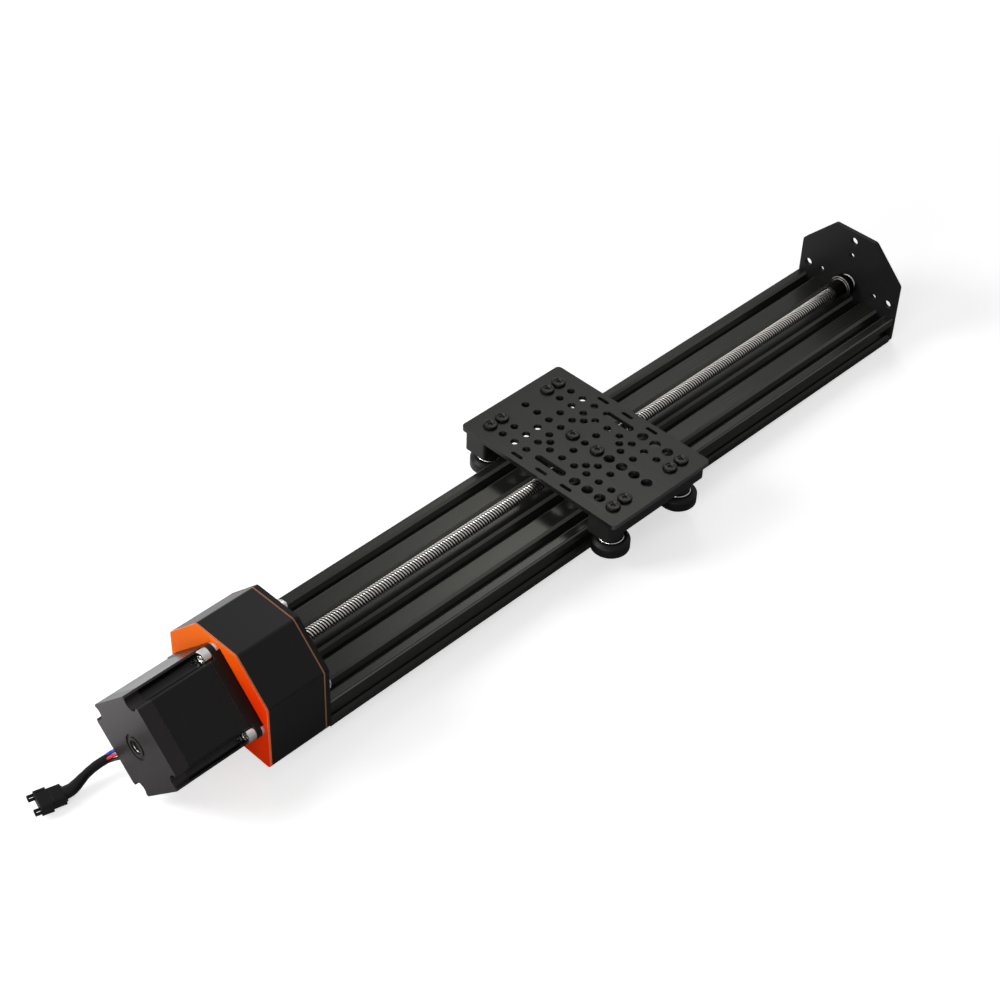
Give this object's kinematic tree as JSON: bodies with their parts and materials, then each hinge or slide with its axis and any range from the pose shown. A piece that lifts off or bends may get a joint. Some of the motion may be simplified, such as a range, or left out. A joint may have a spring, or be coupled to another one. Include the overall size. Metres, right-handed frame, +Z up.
{
  "type": "screw-driven linear module",
  "caption": "Stepper-driven lead screw moves a wheeled, drilled gantry plate along a wide slotted aluminium beam between two octagonal end plates.",
  "frame": {"origin": "mid-length of the beam, on the centre line of its underside", "axes": "+X along the beam from the motor to the free end, +Y across the beam, +Z up, out of the gantry plate's face"},
  "size_m": [0.6556, 0.126, 0.078],
  "materials": {
    "black_anodised": "satin black anodised",
    "orange": "satin orange paint",
    "steel": "bright, turned or zinc plated",
    "black_steel": "black oxide",
    "rotor_steel": "laminated steel",
    "bare_aluminium": "turned",
    "black_paint": "black paint over steel and aluminium",
    "grey_cast": "dark grey paint over cast aluminium",
    "black_plastic": "moulded or milled black plastic",
    "wheel_plastic": "black acetal",
    "black_rubber": "soft black rubber or vinyl"
  },
  "bodies": {
    "base": {"beam": "black_anodised", "far_end_plate": "black_anodised", "far_plate_screws": "steel", "near_end_plate": "black_anodised", "liner_plate": "orange", "near_plate_screws": "steel", "housing_shell": "black_anodised", "standoffs": "steel", "motor_plate": "orange", "motor_flange": "black_paint", "motor_stator": "black_paint", "motor_rear_cap": "grey_cast", "motor_bolts": "steel", "motor_nuts": "steel", "far_bearing_outer_ring": "steel", "far_bearing_seals": "black_rubber", "near_bearing_outer_ring": "steel", "near_bearing_seals": "black_rubber", "motor_bearing_outer_rings": "steel", "cable_grommet": "black_plastic", "motor_cable": "black_rubber", "cable_connector": "black_plastic"},
    "screw": {"lead_screw": "steel", "far_collar": "black_steel", "near_collar": "black_steel", "collar_set_screws": "steel", "coupling": "bare_aluminium", "coupling_set_screws": "black_steel", "motor_shaft": "steel", "rotor": "rotor_steel", "shaft_inner_rings": "steel"},
    "carriage": {"gantry_plate": "black_anodised", "spacer_bar_left": "black_anodised", "spacer_bar_right": "black_anodised", "bar_bolts": "black_steel", "axle_bolts": "black_steel", "axle_nuts": "steel", "nut_block": "black_plastic", "nut_block_bolts": "black_steel", "wheel_inner_rings": "steel", "wheel_shims": "steel"},
    "wheel_1_body": {"wheel_1": "wheel_plastic", "wheel_1_bearings": "steel", "wheel_1_seals": "black_rubber"},
    "wheel_2_body": {"wheel_2": "wheel_plastic", "wheel_2_bearings": "steel", "wheel_2_seals": "black_rubber"},
    "wheel_3_body": {"wheel_3": "wheel_plastic", "wheel_3_bearings": "steel", "wheel_3_seals": "black_rubber"},
    "wheel_4_body": {"wheel_4": "wheel_plastic", "wheel_4_bearings": "steel", "wheel_4_seals": "black_rubber"}
  },
  "joints": [
    {"name": "carriage_slide", "type": "slide", "parent": "base", "child": "carriage", "axis": [1, 0, 0], "range_m": [-0.195, 0.205]},
    {"name": "screw_spin", "type": "hinge", "parent": "base", "child": "screw", "pos_m": [0, 0, 0.0284], "axis": [1, 0, 0], "range_deg": [-9600, 8800]},
    {"name": "wheel_1_spin", "type": "hinge", "parent": "carriage", "child": "wheel_1_body", "pos_m": [-0.039, 0.05062, 0.01], "axis": [0, 0, 1], "range_deg": [-1100, 1100]},
    {"name": "wheel_2_spin", "type": "hinge", "parent": "carriage", "child": "wheel_2_body", "pos_m": [0.021, 0.05062, 0.01], "axis": [0, 0, 1], "range_deg": [-1100, 1100]},
    {"name": "wheel_3_spin", "type": "hinge", "parent": "carriage", "child": "wheel_3_body", "pos_m": [-0.039, -0.05062, 0.01], "axis": [0, 0, 1], "range_deg": [-1100, 1100]},
    {"name": "wheel_4_spin", "type": "hinge", "parent": "carriage", "child": "wheel_4_body", "pos_m": [0.021, -0.05062, 0.01], "axis": [0, 0, 1], "range_deg": [-1100, 1100]}
  ],
  "couplings": [
    {"joint": "screw_spin", "follows": "carriage_slide", "rad_per_m": -785.4},
    {"joint": "wheel_1_spin", "follows": "carriage_slide", "rad_per_m": -88.6},
    {"joint": "wheel_2_spin", "follows": "carriage_slide", "rad_per_m": -88.6},
    {"joint": "wheel_3_spin", "follows": "carriage_slide", "rad_per_m": 88.6},
    {"joint": "wheel_4_spin", "follows": "carriage_slide", "rad_per_m": 88.6}
  ]
}
